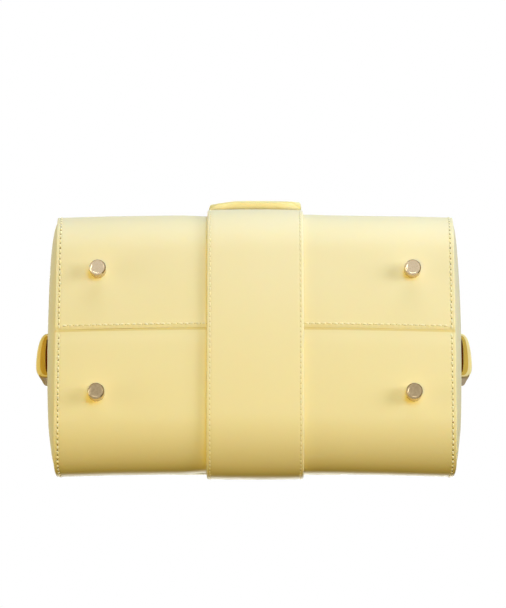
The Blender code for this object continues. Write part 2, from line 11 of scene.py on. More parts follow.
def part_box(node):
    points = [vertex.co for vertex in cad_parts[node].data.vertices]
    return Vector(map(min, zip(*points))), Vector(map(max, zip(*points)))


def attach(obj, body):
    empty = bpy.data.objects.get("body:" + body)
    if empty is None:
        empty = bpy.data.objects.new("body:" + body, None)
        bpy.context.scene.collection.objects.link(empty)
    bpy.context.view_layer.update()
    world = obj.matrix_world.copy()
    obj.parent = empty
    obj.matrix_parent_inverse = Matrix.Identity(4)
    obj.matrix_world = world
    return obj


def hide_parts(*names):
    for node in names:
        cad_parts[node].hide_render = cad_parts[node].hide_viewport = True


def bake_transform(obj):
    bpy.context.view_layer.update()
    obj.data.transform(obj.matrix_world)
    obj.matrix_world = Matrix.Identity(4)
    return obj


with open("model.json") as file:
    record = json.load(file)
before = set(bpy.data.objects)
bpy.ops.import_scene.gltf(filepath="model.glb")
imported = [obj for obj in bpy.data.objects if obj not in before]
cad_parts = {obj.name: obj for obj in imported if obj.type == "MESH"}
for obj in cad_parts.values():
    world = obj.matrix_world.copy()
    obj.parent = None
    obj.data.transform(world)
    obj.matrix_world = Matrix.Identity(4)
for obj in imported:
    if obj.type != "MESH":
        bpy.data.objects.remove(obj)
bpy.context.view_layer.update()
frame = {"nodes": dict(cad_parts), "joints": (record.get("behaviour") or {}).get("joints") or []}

# The photograph's frame, and where the base shows in it
IMAGE_WIDTH, IMAGE_HEIGHT = 506, 608
BASE_PIXEL = (255.2, 333.4)
METRES_PER_PIXEL = 0.000494
CAMERA_TILT = math.radians(15.0)
CAMERA_DISTANCE = 1.6
SENSOR = 36.0

# The wrap, as the frame has it
PANEL_LOW, PANEL_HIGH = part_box("front_panel")
MIDDLE_Y = (PANEL_LOW.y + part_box("back_panel")[1].y) / 2
BASE_Z = PANEL_LOW.z
RIM_Z = PANEL_HIGH.z
RIM_HALF_WIDTH = PANEL_HIGH.x
BASE_HALF_DEPTH = 0.0668
BASE_HALF_WIDTH = 0.099
ROLL_RADIUS = 0.024
LEAN = math.radians(16.0)
PANEL = 0.0020
CLEAR = 0.0003
ROLL_Y = BASE_HALF_DEPTH - ROLL_RADIUS
ROLL_Z = BASE_Z + ROLL_RADIUS
ARC_LENGTH = ROLL_RADIUS * (math.pi / 2 + LEAN)
TANGENT_Z = ROLL_Z + ROLL_RADIUS * math.sin(LEAN)
FACE_LENGTH = (RIM_Z - TANGENT_Z) / math.cos(LEAN)
WRAP_LENGTH = ROLL_Y + ARC_LENGTH + FACE_LENGTH
FRONT, BACK = -1, 1
SIDES = ((FRONT, "front"), (BACK, "back"))
HANDS = ((-1, "left"), (1, "right"))

# How the soft body gives
BOW = 0.0015
BOW_TOP_Z = 0.110
SAG = 0.0014
TUCK = 0.0010
CORNER_PULL = 0.0017
FULL_SIDE = 0.0007
CORNER_TOP_Z = 0.090
GUSSET_INSET, GUSSET_BULGE = 0.0010, 0.0043
RIPPLE = 0.00018
SEAM_Y = -0.0015
SEAM_STEP = 0.0007
SEAM_FADE = 0.007

# Stitching
STITCH_PITCH = 0.0028
STITCH_SHARE = 0.68
STITCH_RADIUS = 0.00040
HOLE_RADIUS = 0.00042
FINE_PITCH, FINE_RADIUS, FINE_HOLE = 0.0026, 0.00026, 0.00024
GROOVE = 0.00016
WRAP_GROOVE_INSET, WRAP_STITCH_INSET = 0.0019, 0.0020
STRAP_STITCH_INSET = 0.0018

# Light: the world's level, and each lamp's name, direction, height it looks at, size, watts and colour
WORLD_LEVEL = 0.02
LAMP_DISTANCE = 1.2
DAY, MILD = (0.965, 0.975, 0.96), (0.965, 0.955, 0.77)
SKY, BOUNCE = (0.18, 0.51, 1.0), (0.985, 0.70, 0.10)
LAMPS = [
    ("front_low", (0.15, -0.99, -0.14), 0.03, (0.9, 0.6), 9.0, DAY),
    ("under_front", (0.20, -0.28, -0.94), 0.03, (0.5, 0.4), 5.6, SKY),
    ("under_back", (-0.06, 0.27, -0.96), 0.03, (0.5, 0.4), 9.4, BOUNCE),
    ("right_low", (0.90, -0.15, -0.42), 0.03, (0.6, 0.6), 8.2, DAY),
    ("left_low", (-1.0, 0.0, -0.12), 0.03, (0.7, 0.7), 6.6, MILD),
    ("front_high", (-0.3, -0.6, 1.0), 0.12, (0.9, 0.9), 4.0, DAY),
    ("back_high", (0.05, 0.25, 0.97), 0.12, (0.7, 0.2), 18.0, DAY),
]

# Strap, closure and the rest
STRAP_HALF_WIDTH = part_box("base_strap")[1].x
STRAP = 0.0022
STRAP_FRONT_Z = 0.112
FLAP_LOW, FLAP_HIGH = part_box("closure_flap")
FLAP_HALF_WIDTH = FLAP_HIGH.x
FLAP = 0.0034
FLAP_OFFSET = CLEAR + STRAP + 0.0024
FLAP_TIP_Z = FLAP_LOW.z
LEATHER_SPECULAR = 0.004

# Handles and their hardware
HANDLE_X = 0.046
HANDLE_LEAN = math.radians(12.0)
HINGE_DROP = 0.006
RING_HALF_WIDTH, RING_HALF_HEIGHT, RING_CORNER, WIRE = 0.0115, 0.007, 0.0035, 0.0015
CHAPE_HALF, CHAPE_ROLL, CHAPE_LENGTH = 0.0088, 0.0030, 0.040
RIVET_DROP = 0.028
FOOT_SHIFT = 0.0007


def node_input(node, name, value):
    node.inputs[name].default_value = value


def new_material(name, colour, roughness, metallic=0.0):
    made = bpy.data.materials.new(name)
    made.use_nodes = True
    shader = made.node_tree.nodes["Principled BSDF"]
    node_input(shader, "Base Color", (*colour, 1.0))
    node_input(shader, "Roughness", roughness)
    node_input(shader, "Metallic", metallic)
    return made, made.node_tree, shader


def add_bump(tree, shader, height, strength, distance, below=None):
    bump = tree.nodes.new("ShaderNodeBump")
    node_input(bump, "Strength", strength)
    node_input(bump, "Distance", distance)
    tree.links.new(height, bump.inputs["Height"])
    if below:
        tree.links.new(below.outputs["Normal"], bump.inputs["Normal"])
    tree.links.new(bump.outputs["Normal"], shader.inputs["Normal"])
    return bump


def texture(tree, kind, scale, **inputs):
    coords = tree.nodes.new("ShaderNodeTexCoord")
    made = tree.nodes.new(kind)
    node_input(made, "Scale", scale)
    for name, value in inputs.items():
        node_input(made, name, value)
    tree.links.new(coords.outputs["Object"], made.inputs["Vector"])
    return made


def ramp(tree, source, stops):
    made = tree.nodes.new("ShaderNodeValToRGB")
    elements = made.color_ramp.elements
    for element, (place, colour) in zip(elements, stops):
        element.position = place
        element.color = (*colour, 1.0)
    tree.links.new(source, made.inputs["Fac"])
    return made


def colour_by(tree, shader, source, stops):
    """Let a texture choose a shader's colour through a ramp."""
    tree.links.new(ramp(tree, source, stops).outputs["Color"], shader.inputs["Base Color"])


def roughness_by(tree, shader, source, low, high):
    """Let a texture vary a shader's roughness between two values."""
    spread = tree.nodes.new("ShaderNodeMapRange")
    node_input(spread, "To Min", low)
    node_input(spread, "To Max", high)
    tree.links.new(source, spread.inputs["Value"])
    tree.links.new(spread.outputs["Result"], shader.inputs["Roughness"])


def larger(tree, first, second):
    """The larger of two node outputs."""
    made = tree.nodes.new("ShaderNodeMath")
    made.operation = "MAXIMUM"
    tree.links.new(first, made.inputs[0])
    tree.links.new(second, made.inputs[1])
    return made.outputs["Value"]


def leather(name, light, dark, roughness=0.42, grain=0.10, back=None):
    """Smooth calf: cloudy colour, fine pores and a faint pebble; back is a deeper, more saturated tone mixed
    in towards the back, a painted shade of the back roll.
    """
    made, tree, shader = new_material(name, light, roughness)
    cloud = texture(tree, "ShaderNodeTexNoise", 18.0, Detail=3.0, Roughness=0.5)
    shown = ramp(tree, cloud.outputs["Fac"], [(0.30, dark), (0.72, light)]).outputs["Color"]
    # Painted shade: the colour deepens towards the back, standing in for the back roll's shade.
    if back:
        coords = tree.nodes.new("ShaderNodeTexCoord")
        apart = tree.nodes.new("ShaderNodeSeparateXYZ")
        share = tree.nodes.new("ShaderNodeMapRange")
        share.interpolation_type = "SMOOTHSTEP"
        node_input(share, "From Min", MIDDLE_Y - BASE_HALF_DEPTH)
        node_input(share, "From Max", MIDDLE_Y + BASE_HALF_DEPTH)
        painted_back_shade = tree.nodes.new("ShaderNodeMixRGB")
        node_input(painted_back_shade, "Color2", (*back, 1.0))
        tree.links.new(coords.outputs["Object"], apart.inputs["Vector"])
        tree.links.new(apart.outputs["Y"], share.inputs["Value"])
        tree.links.new(share.outputs["Result"], painted_back_shade.inputs["Fac"])
        tree.links.new(shown, painted_back_shade.inputs["Color1"])
        shown = painted_back_shade.outputs["Color"]
    tree.links.new(shown, shader.inputs["Base Color"])
    pebble = texture(tree, "ShaderNodeTexVoronoi", 1500.0)
    first = add_bump(tree, shader, pebble.outputs["Distance"], grain, 0.00010)
    pores = texture(tree, "ShaderNodeTexNoise", 3800.0, Detail=2.0)
    add_bump(tree, shader, pores.outputs["Fac"], grain, 0.00006, below=first)
    gloss = texture(tree, "ShaderNodeTexNoise", 60.0, Detail=2.0)
    roughness_by(tree, shader, gloss.outputs["Fac"], roughness - 0.05, roughness + 0.07)
    node_input(shader, "Specular IOR Level", LEATHER_SPECULAR)
    node_input(shader, "Subsurface Weight", 0.08)
    node_input(shader, "Subsurface Scale", 0.0012)
    node_input(shader, "Subsurface Radius", (1.0, 0.45, 0.12))
    return made


def suede(name, light, dark):
    """Matt microsuede with a soft nap."""
    made, tree, shader = new_material(name, light, 0.95)
    nap = texture(tree, "ShaderNodeTexNoise", 420.0, Detail=6.0, Roughness=0.7)
    colour_by(tree, shader, nap.outputs["Fac"], [(0.35, dark), (0.65, light)])
    add_bump(tree, shader, nap.outputs["Fac"], 0.5, 0.0003)
    node_input(shader, "Sheen Weight", 0.35)
    node_input(shader, "Sheen Roughness", 0.5)
    return made


def plated(name, light, dark, roughness):
    """Polished plating with fine turned lines and faint handling marks."""
    made, tree, shader = new_material(name, light, roughness, 1.0)
    marks = texture(tree, "ShaderNodeTexNoise", 900.0, Detail=4.0)
    colour_by(tree, shader, marks.outputs["Fac"], [(0.30, dark), (0.70, light)])
    roughness_by(tree, shader, marks.outputs["Fac"], roughness * 0.8, roughness * 1.4)
    add_bump(tree, shader, marks.outputs["Fac"], 0.06, 0.00005)
    return made


def thread(name, colour, dark):
    """Twisted sewing thread."""
    made, tree, shader = new_material(name, colour, 0.6)
    twist = texture(tree, "ShaderNodeTexWave", 1400.0, Distortion=1.5)
    colour_by(tree, shader, twist.outputs["Fac"], [(0.2, dark), (0.8, colour)])
    add_bump(tree, shader, twist.outputs["Fac"], 0.3, 0.0001)
    node_input(shader, "Sheen Weight", 0.2)
    return made


def pressed_board(name, light, dark):
    """Matt leather board with short fibres."""
    made, tree, shader = new_material(name, light, 0.85)
    fibres = texture(tree, "ShaderNodeTexNoise", 700.0, Detail=5.0)
    colour_by(tree, shader, fibres.outputs["Fac"], [(0.3, dark), (0.7, light)])
    add_bump(tree, shader, fibres.outputs["Fac"], 0.3, 0.0002)
    return made


# The back colours are painted shade: the wrap and strap deepen towards the back roll.
BUTTER = leather("butter_leather", (0.865, 0.790, 0.540), (0.850, 0.770, 0.510),
                 back=(0.850, 0.750, 0.430))
STRAP_LEATHER = leather("strap_leather", (0.870, 0.795, 0.550), (0.855, 0.775, 0.520), 0.40,
                        back=(0.855, 0.755, 0.440))
DEEP = leather("deep_leather", (0.855, 0.765, 0.455), (0.840, 0.740, 0.425))
FLAP_FACE = leather("flap_face", (0.865, 0.795, 0.520), (0.850, 0.770, 0.490), 0.40)
# Edge paint for cut edges, also used as painted shade on the back wrap's rows behind the seam fold.
EDGE_PAINT_AND_SEAM_SHADE = leather("edge_paint_and_seam_shade", (0.800, 0.680, 0.340), (0.770, 0.650, 0.310), 0.36, 0.03)
FLAP_EDGE = leather("flap_edge", (0.790, 0.720, 0.370), (0.770, 0.695, 0.340), 0.36, 0.03)
# Darker, browner copies of the leather for a side loop's inner end faces and its back wall: painted shade.
LOOP_EDGE_SHADE = leather("loop_edge_shade", (0.620, 0.420, 0.090), (0.560, 0.370, 0.070), 0.45, 0.05)
LOOP_WALL_SHADE = leather("loop_wall_shade", (0.500, 0.350, 0.150), (0.440, 0.300, 0.120), 0.50, 0.05)
# A near-black brown for the sheet inside a side loop's hollow: painted shade.
LOOP_HOLLOW_SHADE = leather("loop_hollow_shade", (0.20, 0.055, 0.010), (0.15, 0.040, 0.008), roughness=0.8)
LINING_SUEDE = suede("lining_suede", (0.66, 0.54, 0.33), (0.55, 0.44, 0.25))
GILT = plated("pale_gilt", (0.66, 0.53, 0.36), (0.60, 0.48, 0.32), 0.24)
# A darker gilt for the back feet's heads: a painted darker reflection.
SHADED_GILT = plated("shaded_gilt", (0.44, 0.34, 0.20), (0.34, 0.25, 0.14), 0.30)
# A dark gilt for one side of each foot's rim: a painted dark reflection.
DARK_RIM_REFLECTION = plated("dark_rim_reflection", (0.24, 0.18, 0.09), (0.16, 0.11, 0.05), 0.40)
STEEL = plated("steel", (0.62, 0.62, 0.64), (0.52, 0.52, 0.55), 0.30)
THREAD = thread("thread", (0.90, 0.83, 0.58), (0.80, 0.72, 0.44))
# Dark colours for the needle-hole dimples, fainter for the finer rows: painted shade in the holes.
NEEDLE_HOLE_SHADE = leather("needle_hole", (0.30, 0.24, 0.08), (0.22, 0.17, 0.05), roughness=0.8)
FINE_HOLE_SHADE = leather("fine_hole_shade", (0.56, 0.46, 0.21), (0.48, 0.39, 0.16), roughness=0.8)
BOARD = pressed_board("board_fibre", (0.17, 0.11, 0.06), (0.12, 0.08, 0.04))


def place_on_wrap(side, s, offset=0.0):
    """Point and outward normal (y, z) at a run s along the wrap from the base's middle."""
    if s <= ROLL_Y:
        point, normal = (s, BASE_Z), (0.0, -1.0)
    elif s <= ROLL_Y + ARC_LENGTH:
        angle = -math.pi / 2 + (s - ROLL_Y) / ROLL_RADIUS
        normal = (math.cos(angle), math.sin(angle))
        point = (ROLL_Y + ROLL_RADIUS * normal[0], ROLL_Z + ROLL_RADIUS * normal[1])
    else:
        run = s - ROLL_Y - ARC_LENGTH
        normal = (math.cos(LEAN), math.sin(LEAN))
        point = (ROLL_Y + ROLL_RADIUS * normal[0] - run * math.sin(LEAN), TANGENT_Z + run * math.cos(LEAN))
    place = Vector((0, side * (point[0] + normal[0] * offset), point[1] + normal[1] * offset))
    return place, Vector((0, side * normal[0], normal[1]))


def wall_y(offset, z):
    """Distance from the middle plane of the wrap's outer face moved out by offset."""
    radius = ROLL_RADIUS + offset
    tangent_z = ROLL_Z + radius * math.sin(LEAN)
    if z < tangent_z:
        drop = min(ROLL_Z - z, radius)
        return ROLL_Y + math.sqrt(max(radius ** 2 - drop ** 2, 0))
    return ROLL_Y + radius * math.cos(LEAN) - (z - tangent_z) * math.tan(LEAN)


def half_width(z):
    """Half the wrap's width at a height."""
    return BASE_HALF_WIDTH + (RIM_HALF_WIDTH - BASE_HALF_WIDTH) * (z - BASE_Z) / (RIM_Z - BASE_Z)


def smooth(value):
    """An even step from 0 to 1."""
    value = min(max(value, 0.0), 1.0)
    return value * value * (3 - 2 * value)


def bell(distance, width):
    """A smooth bump, 1 in its middle."""
    return math.exp(-(distance / width) ** 2)


def turn(count):
    """Even angles round a full turn."""
    return [math.tau * k / count for k in range(count)]


def settle(point):
    """Bow the soft lower body towards the front, sag the base and draw in the back's lower corners."""
    across = min(abs(point.x) / BASE_HALF_WIDTH, 1.0)
    fade = 1 - smooth((point.z - ROLL_Z) / (BOW_TOP_Z - ROLL_Z))
    low_fade = 1 - smooth((point.z - BASE_Z) / (ROLL_Z - BASE_Z))
    sag = SAG * (1 - (point.y / ROLL_Y) ** 2) * low_fade
    tuck = TUCK * smooth(-point.y / ROLL_Y) * fade
    back = smooth((point.y - ROLL_Y) / ROLL_RADIUS * 2) * smooth((point.z - BASE_Z - 0.010) / 0.024)
    pull = CORNER_PULL * back * (1 - smooth((point.z - ROLL_Z) / (CORNER_TOP_Z - ROLL_Z))) * across ** 3
    bow = BOW * (1 - across * across) * fade
    return Vector((point.x - math.copysign(pull, point.x), point.y - bow + tuck, point.z - sag))


def ripple(point):
    """A slow unevenness of the hide, in metres along the normal."""
    return RIPPLE * noise.noise(point * 26.0)


def bridge(bm, first, second, material=0, closed=True):
    """Quads between two rows of vertices."""
    for i in range(len(first) - (0 if closed else 1)):
        j = (i + 1) % len(first)
        bm.faces.new((first[i], first[j], second[j], second[i])).material_index = material


def finish_mesh(name, bm, materials, body, replaced=(), slot=None, sharp=50.0):
    """Turn a mesh, built about the wrap's middle plane, into a piece on its body."""
    bmesh.ops.recalc_face_normals(bm, faces=bm.faces)
    bmesh.ops.translate(bm, verts=bm.verts, vec=(0, MIDDLE_Y, 0))
    mesh = bpy.data.meshes.new(name)
    bm.to_mesh(mesh)
    bm.free()
    mesh.shade_smooth()
    mesh.set_sharp_from_angle(angle=math.radians(sharp))
    for material in materials:
        mesh.materials.append(material)
    piece = bpy.data.objects.new(name, mesh)
    bpy.context.scene.collection.objects.link(piece)
    if body:
        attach(piece, body)
    if replaced:
        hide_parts(*replaced)
    return piece


def loft(name, rings, materials, body, closed=False, edge_columns=(), painted_shade_rows=(), **options):
    """Skin rings of points; the listed edge columns and the listed rows take the second material, which on
    those rows is painted shade.
    """
    bm = bmesh.new()
    loops = [[bm.verts.new(point) for point in ring] for ring in rings]
    pairs = list(zip(loops, loops[1:]))
    if closed:
        pairs.append((loops[-1], loops[0]))
    count = len(loops[0])
    for row, (first, second) in enumerate(pairs):
        for i in range(count):
            j = (i + 1) % count
            face = bm.faces.new((first[i], first[j], second[j], second[i]))
            if i in edge_columns or row in painted_shade_rows:
                face.material_index = 1
    if not closed:
        for loop in (loops[0], loops[-1]):
            face = bm.faces.new(loop)
            if edge_columns:
                face.material_index = 1
    return finish_mesh(name, bm, materials, body, **options)


def spread_columns(half, fine, coarse):
    """Places across a band, fine near both edges: shares of a half width, as distances."""
    near = [0.0, 0.0002, 0.0006, 0.0011, 0.0015, 0.0019, 0.0023, 0.0028, 0.0036, 0.0050]
    near = [n for n in near if n < half * 0.8][:fine]
    inner = half - near[-1]
    places = [-half + n for n in near]
    places += [-inner + 2 * inner * i / coarse for i in range(1, coarse)]
    places += [half - n for n in reversed(near)]
    return places


def section(places, thickness, roundness):
    """A band's cross-section as (across, depth) pairs: face, round edge, back, round edge."""
    left, right = places[0], places[-1]
    outline = []
    for x in places:
        short = 1 - min(min(x - left, right - x) / roundness, 1)
        outline.append((x, roundness * (1 - math.sqrt(max(1 - short ** 2, 0)))))
    face_count = len(outline)
    steps = 3
    rises = [(thickness - 2 * roundness) * (i + 1) / (steps + 1) for i in range(steps)]
    back = [right - roundness, right * 0.5, 0.0, left * 0.5, left + roundness]
    outline += [(right, roundness + rise) for rise in rises]
    outline.append((right, thickness - roundness))
    outline += [(x, thickness) for x in back]
    outline.append((left, thickness - roundness))
    outline += [(left, thickness - roundness - rise) for rise in rises]
    columns = set(range(face_count - 1, face_count + steps + 1))
    columns |= set(range(face_count + steps + 1 + len(back), len(outline)))
    return outline, columns


def square_up(along, normal):
    """Unit vectors along, out of and beside a stitch."""
    along = along.normalized()
    normal = (normal - along * normal.dot(along)).normalized()
    return along, normal, along.cross(normal)


def stitches(name, path, body, length, radius):
    """A row of stitches: path holds (point, along, normal) at each stitch's middle."""
    bm = bmesh.new()
    for point, *directions in path:
        along, normal, beside = square_up(*directions)
        rings = []
        for share, swell in ((-1.0, 0.25), (-0.75, 0.8), (-0.3, 1.0), (0.3, 1.0), (0.75, 0.8), (1.0, 0.25)):
            centre = point + along * (share * length / 2) + normal * (radius * (0.55 * swell - 0.35))
            rings.append([bm.verts.new(centre + (beside * math.cos(a) * 1.25 + normal * math.sin(a))
                                       * radius * swell) for a in turn(6)])
        for first, second in zip(rings, rings[1:]):
            bridge(bm, first, second)
        bm.faces.new(rings[0])
        bm.faces.new(rings[-1])
    finish_mesh(name, bm, [THREAD], body, slot="butter_leather", sharp=80.0)


def needle_holes(name, path, body, pitch, radius):
    """Small dimples between the stitches of a row, coloured dark as painted shade in the holes."""
    bm = bmesh.new()
    count = 8
    for point, *directions in path:
        along, normal, beside = square_up(*directions)
        centre = point + along * (pitch / 2)
        rim = [bm.verts.new(centre + (beside * math.cos(a) + along * math.sin(a)) * radius + normal * 0.00002)
               for a in turn(count)]
        top = bm.verts.new(centre + normal * 0.00006)
        low = bm.verts.new(centre - normal * 0.00030)
        for i in range(count):
            j = (i + 1) % count
            bm.faces.new((rim[i], rim[j], top))
            bm.faces.new((rim[j], rim[i], low))
    look = NEEDLE_HOLE_SHADE if radius > FINE_HOLE else FINE_HOLE_SHADE
    finish_mesh(name, bm, [look], body, slot="butter_leather", sharp=80.0)


def stitch_row(name, points, normals, body, pitch=STITCH_PITCH, radius=STITCH_RADIUS, hole=HOLE_RADIUS):
    """Stitches and needle holes at an even pitch along a run of points."""
    lengths = [0.0]
    for a, b in zip(points, points[1:]):
        lengths.append(lengths[-1] + (b - a).length)
    count = max(int(lengths[-1] / pitch), 1)
    step = lengths[-1] / count
    path, k = [], 0
    for i in range(count):
        target = (i + 0.5) * step
        while lengths[k + 1] < target:
            k += 1
        share = (target - lengths[k]) / (lengths[k + 1] - lengths[k])
        point = points[k].lerp(points[k + 1], share)
        path.append((point, points[k + 1] - points[k], normals[k].lerp(normals[k + 1], share)))
    stitches(name, path, body, pitch * STITCH_SHARE, radius)
    needle_holes(name + "_holes", path[:-1], body, step, hole)


def fine_row(name, points, normals, body, pitch=FINE_PITCH):
    """The finer stitching of strap, closure, chapes and handles."""
    stitch_row(name, points, normals, body, pitch, FINE_RADIUS, FINE_HOLE)


def wrap_offset(side, x, s, half):
    """How far the wrap's face lies out of its plain profile."""
    offset = ripple(Vector((x, side * s, 0.3)))
    offset -= GROOVE * bell(half - abs(x) - WRAP_GROOVE_INSET, 0.0006)
    beside_strap = max(abs(x) - STRAP_HALF_WIDTH, 0.0)
    off_seam = smooth((abs(s) - 0.002) / 0.014)
    return offset + (0.0003 if x > 0 else -0.0009) * off_seam * bell(beside_strap, 0.0055)


def seam_drop(side, s):
    """How far the back half dips to go under the front half's folded edge."""
    return SEAM_STEP * (1 - smooth((s - SEAM_Y) / SEAM_FADE)) if side == BACK else 0.0


def make_wrap(name, side, node):
    """One half of the wrap, from the base seam to the rim."""
    start = -SEAM_Y if side == FRONT else SEAM_Y - 0.002
    fine_steps, coarse = 10, 92
    fold = 0.0016
    runs = [start + 0.0004 * i for i in range(fine_steps)]
    runs += [runs[-1] + (WRAP_LENGTH - 0.0002 - runs[-1]) * (i + 1) / coarse for i in range(coarse)]
    rings, edge_columns = [], set()
    for s in runs:
        middle, normal = place_on_wrap(side, s)
        half = half_width(max(middle.z, BASE_Z))
        outline, edge_columns = section(spread_columns(half, 10, 26), PANEL, 0.0005)
        ring = []
        for x, depth in outline:
            offset = (wrap_offset(side, x, s, half) if depth < PANEL / 2 else 0.0) - seam_drop(side, s)
            if side == FRONT and s < start + fold:
                offset -= 0.0006 * (1 - (s - start) / fold) ** 2
            ring.append(settle(middle + Vector((x, 0, 0)) + normal * (offset - depth)))
        rings.append(ring)
    # Rows 5 to 7 of the back half, just behind the seam's fold, take the edge paint colour as painted shade
    # in the seam.
    loft(name, rings, [BUTTER, EDGE_PAINT_AND_SEAM_SHADE], "bag", edge_columns=edge_columns,
         painted_shade_rows=range(5, 8) if side == BACK else (), replaced=[node], slot="butter_leather")


def make_wrap_stitching():
    """Rows along both side edges of the wrap, and the row beside the base seam."""
    for side, tag in SIDES:
        start = 0.0 if side == BACK else 0.0016
        for hand, hand_tag in HANDS:
            points, normals = [], []
            for i in range(161):
                s = start + (WRAP_LENGTH - 0.004 - start) * i / 160
                middle, normal = place_on_wrap(side, s)
                half = half_width(middle.z)
                x = hand * (half - WRAP_STITCH_INSET)
                offset = wrap_offset(side, x, s, half) - seam_drop(side, s)
                points.append(settle(middle + Vector((x, 0, 0)) + normal * offset))
                normals.append(normal)
            stitch_row(f"stitch_{tag}_{hand_tag}", points, normals, "bag")
    low, high = STRAP_HALF_WIDTH - 0.003, BASE_HALF_WIDTH - 0.0035
    run = -SEAM_Y + 0.0019
    for hand, tag in HANDS:
        xs = [hand * (low + (high - low) * i / 90) for i in range(91)]
        points = [settle(Vector((x, -run, BASE_Z - wrap_offset(FRONT, x, run, BASE_HALF_WIDTH)))) for x in xs]
        stitch_row(f"stitch_seam_{tag}", points, [Vector((0, 0, -1))] * 91, "bag", hole=FINE_HOLE)


def gusset_x(share, z):
    """Distance of a gusset's face from the middle: a soft bulge out of the wrap's edge."""
    low = BASE_Z + PANEL + CLEAR
    rise = math.sqrt(min(max(z - low, 0) / 0.014, 1.0))
    up_share = (z - low) / (RIM_Z - low)
    rise *= 1 - 0.5 * max(up_share, 0) ** 3
    crown = max(1 - share ** 2, 0) ** 0.40
    return half_width(z) - GUSSET_INSET + GUSSET_BULGE * rise * crown


def make_gusset(name, hand, node):
    """A smooth gusset, as one closed thin skin."""
    offset = -(PANEL + CLEAR)
    radius = ROLL_RADIUS + offset
    arc, rise, columns = 22, 40, 44
    angles = [-math.pi / 2 + (math.pi / 2 + LEAN) * i / arc for i in range(arc + 1)]
    heights = [ROLL_Z + radius * math.sin(angle) for angle in angles]
    top_z = RIM_Z - 0.003
    heights += [heights[-1] + (top_z - heights[-1]) * i / rise for i in range(1, rise + 1)]
    shares = [math.sin(math.pi * (i / columns - 0.5)) for i in range(columns + 1)]

    def face_rings(inward):
        rows = []
        for z in heights:
            reach = wall_y(offset, z)
            row = []
            for share in shares:
                x = gusset_x(share, z) - inward
                if hand < 0:
                    bulge = (gusset_x(share, z) - half_width(z) + GUSSET_INSET) / GUSSET_BULGE
                    x += FULL_SIDE * (1 + 0.6 * smooth(-share)) * bulge
                y = share * (reach - inward * 0.6)
                row.append(settle(Vector((hand * (x + ripple(Vector((y, z, hand)))), y, z))))
            rows.append(row)
        return rows

    bm = bmesh.new()
    grids = [[[bm.verts.new(p) for p in row] for row in face_rings(inward)] for inward in (0.0, 0.0016)]
    for grid in grids:
        for low, high in zip(grid, grid[1:]):
            bridge(bm, low, high, closed=False)

    def rim(grid):
        left = [row[0] for row in grid]
        right = [row[-1] for row in grid]
        return left[::-1] + grid[0][1:-1] + right + grid[-1][1:-1][::-1]

    bridge(bm, rim(grids[0]), rim(grids[1]))
    finish_mesh(name, bm, [BUTTER], "bag", replaced=[node], slot="butter_leather")


def band_outline(half, thickness, roundness):
    """A strap's section as (across, out) pairs, with a groove under each stitch row and a slight crown."""
    outline, columns = section(spread_columns(half, 9, 14), thickness, roundness)
    shaped = []
    for x, depth in outline:
        out = -depth
        if depth < thickness / 2:
            out -= GROOVE * bell(half - abs(x) - STRAP_STITCH_INSET, 0.00055)
            out += 0.0003 * (1 - (x / half) ** 2)
        shaped.append((x, out))
    return shaped, columns


def make_strap():
    """The central strap, from the front, round the base, to the back rim."""
    top_s = ROLL_Y + ARC_LENGTH + (STRAP_FRONT_Z - TANGENT_Z) / math.cos(LEAN)
    runs = [(FRONT, top_s * (1 - i / 60)) for i in range(60)]
    runs += [(BACK, 0.0002 + (WRAP_LENGTH - 0.0002) * i / 90) for i in range(91)]
    outline, columns = band_outline(STRAP_HALF_WIDTH - 0.0002, STRAP, 0.0009)
    places = [place_on_wrap(side, s, CLEAR + STRAP) for side, s in runs]
    rings = [[settle(middle + Vector((x, 0, 0)) + normal * out) for x, out in outline]
             for middle, normal in places]
    loft("central_strap", rings, [STRAP_LEATHER, EDGE_PAINT_AND_SEAM_SHADE], "bag", edge_columns=columns,
         replaced=["base_strap"], slot="butter_leather")
    normals = [normal for middle, normal in places]
    for hand, tag in HANDS:
        across = Vector((hand * (STRAP_HALF_WIDTH - STRAP_STITCH_INSET), 0, 0))
        points = [settle(middle + across - normal * 0.00008) for middle, normal in places]
        fine_row("stitch_strap_" + tag, points, normals, "bag")


def joint_place(name):
    """A joint's place, seen from the wrap's middle plane."""
    joint = next(j for j in frame["joints"] if j["name"] == name)
    return Vector(joint["pos_m"]) - Vector((0, MIDDLE_Y, 0))


def closure_fold_lines():
    return [joint_place(name) for name in ("closure_back_fold", "closure_front_fold")]


def round_corner(start, corner, end, steps):
    """Points round a corner, with both ends."""
    shares = [i / steps for i in range(steps + 1)]
    return [(1 - t) ** 2 * start + 2 * t * (1 - t) * corner + t * t * end for t in shares]


def closure_path():
    """The closure's middle line: up the back rim, over the top and down the front."""
    back, front = closure_fold_lines()
    lean_back = Vector((0, math.sin(LEAN), -math.cos(LEAN)))
    lean_front = Vector((0, -math.sin(LEAN), -math.cos(LEAN)))
    bend = 0.0016
    points = [back + lean_back * d for d in (0.0030, 0.0020)]
    start, end = back + Vector((0, -bend, 0)), front + Vector((0, 2.5 * bend, 0))
    points += round_corner(back + lean_back * bend, back, start, 6)
    span = 24
    points += [start.lerp(end, i / span) for i in range(1, span)]
    points += round_corner(end, front, front + lean_front * 2.5 * bend, 8)
    start = points[-1]
    end = front + lean_front * ((front.z - FLAP_TIP_Z) / math.cos(LEAN) - 0.0006)
    span = 56
    points += [start.lerp(end, i / span) for i in range(1, span + 1)]
    return points


